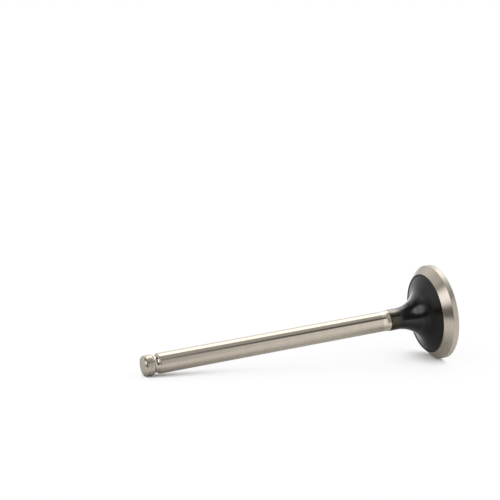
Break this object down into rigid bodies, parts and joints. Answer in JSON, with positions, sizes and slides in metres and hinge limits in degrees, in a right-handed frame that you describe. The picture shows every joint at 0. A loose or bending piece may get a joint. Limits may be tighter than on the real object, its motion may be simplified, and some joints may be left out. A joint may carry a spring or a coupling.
{
  "type": "engine valve",
  "caption": "Poppet valve with a slender ground stem, a round keeper groove near its tip, a black tulip neck and a disc head with a ground conical seat.",
  "frame": {"origin": "middle of the flat combustion face, on the stem's axis, where the valve stands on its head", "axes": "+Z along the stem's axis, from the combustion face to the tip; the valve is the same all round, so X and Y are any two directions square to it"},
  "size_m": [0.026, 0.026, 0.0865],
  "materials": {
    "valve_steel": "ground bright on the stem, tip, groove, seat and rim; satin black on the neck and the back of the head"
  },
  "bodies": {
    "root": {"valve": "valve_steel"}
  },
  "joints": []
}
